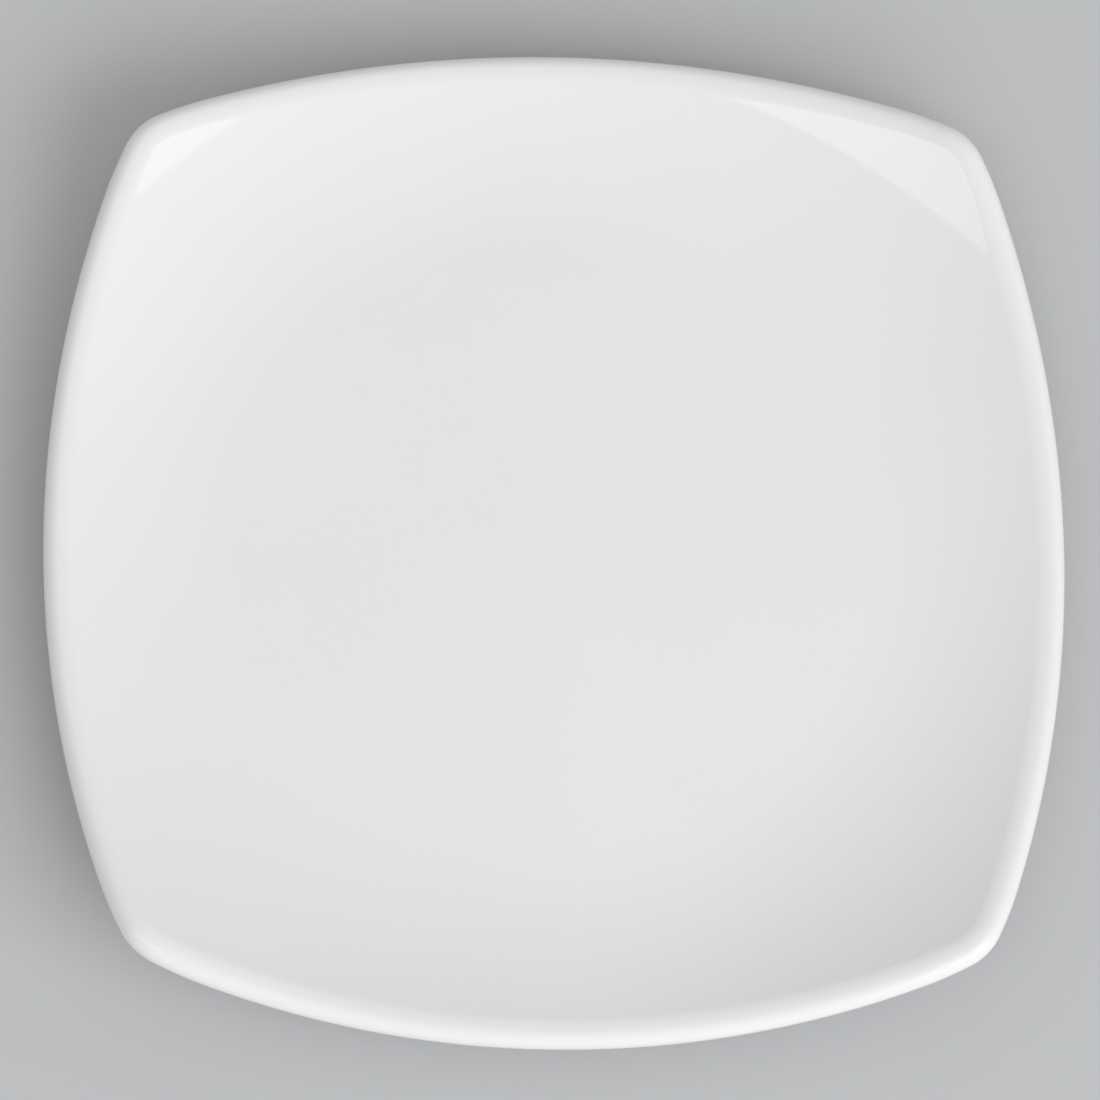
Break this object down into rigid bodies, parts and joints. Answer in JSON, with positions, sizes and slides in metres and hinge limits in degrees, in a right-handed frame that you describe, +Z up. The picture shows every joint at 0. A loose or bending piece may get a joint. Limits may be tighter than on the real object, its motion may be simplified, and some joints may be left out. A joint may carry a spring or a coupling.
{
  "type": "square plate",
  "caption": "Shallow square porcelain plate with bowed sides and raised round corners, a flat round well, a soft round lip and a bare foot ring.",
  "frame": {"origin": "middle of the plate on the plane that its foot stands on", "axes": "+Z up out of the well, +X and +Y through the middles of two neighbouring sides"},
  "size_m": [0.165, 0.165, 0.0183],
  "materials": {
    "biscuit": "matte",
    "glaze": "polished"
  },
  "bodies": {
    "root": {"biscuit_body": "biscuit", "outer_glaze": "glaze", "recess_glaze": "glaze"}
  },
  "joints": []
}
